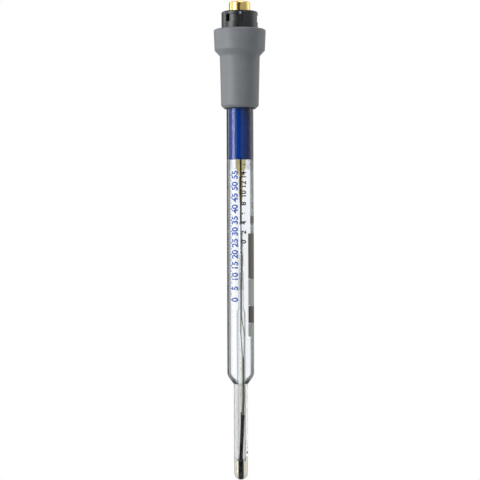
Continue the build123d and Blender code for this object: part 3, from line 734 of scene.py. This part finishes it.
# Floor, well below the tip of the held electrode: pale near it, white further off
floor_look = material("pale studio floor", "e9e9e8", 0.7)
tree = floor_look.node_tree
coords = node(tree, "ShaderNodeTexCoord")
spread = node(tree, "ShaderNodeVectorMath", [(coords.outputs["Object"], 0)], operation="LENGTH")
fade = node(tree, "ShaderNodeMapRange", [(spread.outputs["Value"], "Value")],
            interpolation_type="SMOOTHSTEP", in_From_Min=PALE_RADIUS, in_From_Max=FLOOR_RADIUS)
white = node(tree, "ShaderNodeEmission", in_Strength=1.0)
blend = node(tree, "ShaderNodeMixShader", [
    (fade.outputs[0], 0), (tree.nodes["Principled BSDF"].outputs[0], 1), (white.outputs[0], 2)])
tree.links.new(blend.outputs[0], tree.nodes["Material Output"].inputs["Surface"])
around = np.linspace(0, 2 * np.pi, FLOOR_CORNERS, endpoint=False)
rim = FLOOR_RADIUS * np.stack([np.cos(around), np.sin(around), 0 * around], axis=1)
floor_mesh = bpy.data.meshes.new("floor")
floor_mesh.from_pydata(rim.tolist(), [], [list(range(FLOOR_CORNERS))])
floor_mesh.materials.append(floor_look)
floor = bpy.data.objects.new("floor", floor_mesh)
floor.location = (0, 0, -FLOOR_DEPTH)
scene.collection.objects.link(floor)


def card(name, azimuth, width, shade):
    """Upright card that faces the axis and that only reflections see."""
    mesh = bpy.data.meshes.new(name)
    w, h = width / 2, CARD_HEIGHT / 2
    mesh.from_pydata([(-w, 0, -h), (w, 0, -h), (w, 0, h), (-w, 0, h)], [], [[0, 1, 2, 3]])
    look = material(name + " card", "000000", 0.5, Emission_Color=linear(shade), Emission_Strength=1.0)
    mesh.materials.append(look)
    made = bpy.data.objects.new(name, mesh)
    a = radians(azimuth)
    made.location = (CARD_DISTANCE * sin(a), -CARD_DISTANCE * cos(a), STAGE_MIDDLE)
    made.rotation_euler = (0, 0, a)
    made.visible_camera = made.visible_diffuse = made.visible_shadow = False
    made.visible_transmission = made.visible_volume_scatter = False
    scene.collection.objects.link(made)


# A near-black card in front, and grey ones beside and behind, keep the glass and cap from glaring
card("front", -10, 0.6, "161617")
card("right", 46, 1.2, "b8b8ba")
card("left back", -140, 0.7, "9a9a9a")


def lamp(name, azimuth, elevation, width, height, watts):
    """Soft area lamp that points at the middle of the object."""
    data = bpy.data.lights.new(name, "AREA")
    data.shape = "RECTANGLE"
    data.size, data.size_y, data.energy = width, height, watts
    made = bpy.data.objects.new(name, data)
    a, e = radians(azimuth), radians(elevation)
    made.location = (LAMP_DISTANCE * sin(a) * cos(e), -LAMP_DISTANCE * cos(a) * cos(e),
                     STAGE_MIDDLE + LAMP_DISTANCE * sin(e))
    aim = Vector((0, 0, STAGE_MIDDLE)) - made.location
    made.rotation_euler = aim.to_track_quat("-Z", "Y").to_euler()
    scene.collection.objects.link(made)


# The key lamp lights the left side, two narrow ones draw the edges, and one lights the top
lamp("key", -58, 6, 0.26, 0.6, 3.0)
lamp("rim", -112, 4, 0.1, 0.6, 0.7)
lamp("right rim", 108, 4, 0.14, 0.6, 0.35)
lamp("top", 20, 60, 0.3, 0.3, 0.8)

# World: white for the camera, reflections and what glass shows, softer for matt surfaces
world = bpy.data.worlds.new("studio")
scene.world = world
world.use_nodes = True
tree = world.node_tree
back = tree.nodes["Background"]
back.inputs["Color"].default_value = (1, 1, 1, 1)
path = node(tree, "ShaderNodeLightPath")
seen = node(tree, "ShaderNodeMath", [
    (path.outputs["Is Camera Ray"], 0), (path.outputs["Is Glossy Ray"], 1)], operation="MAXIMUM")
seen_too = node(tree, "ShaderNodeMath", [
    (seen.outputs[0], 0), (path.outputs["Is Transmission Ray"], 1)], operation="MAXIMUM")
level = node(tree, "ShaderNodeMapRange", [(seen_too.outputs[0], "Value")], in_To_Min=0.3,
             in_To_Max=1.0)
tree.links.new(level.outputs[0], back.inputs["Strength"])

# Camera: level, with a long lens and the photograph's slight lean
view = bpy.data.cameras.new("camera")
view.sensor_width = 36
view.lens = LENS
view.clip_start = 0.01
camera = bpy.data.objects.new("camera", view)
camera.location = (VIEW_SHIFT, -VIEW_DISTANCE, VIEW_HEIGHT)
camera.rotation_euler = (radians(90), VIEW_LEAN, 0)
scene.collection.objects.link(camera)
scene.camera = camera

# Light has to pass many nested surfaces of glass and liquid
scene.view_settings.view_transform = "Standard"
scene.cycles.max_bounces = BOUNCES
scene.cycles.transmission_bounces = BOUNCES
scene.cycles.transparent_max_bounces = BOUNCES
scene.cycles.caustics_refractive = False
scene.cycles.caustics_reflective = False
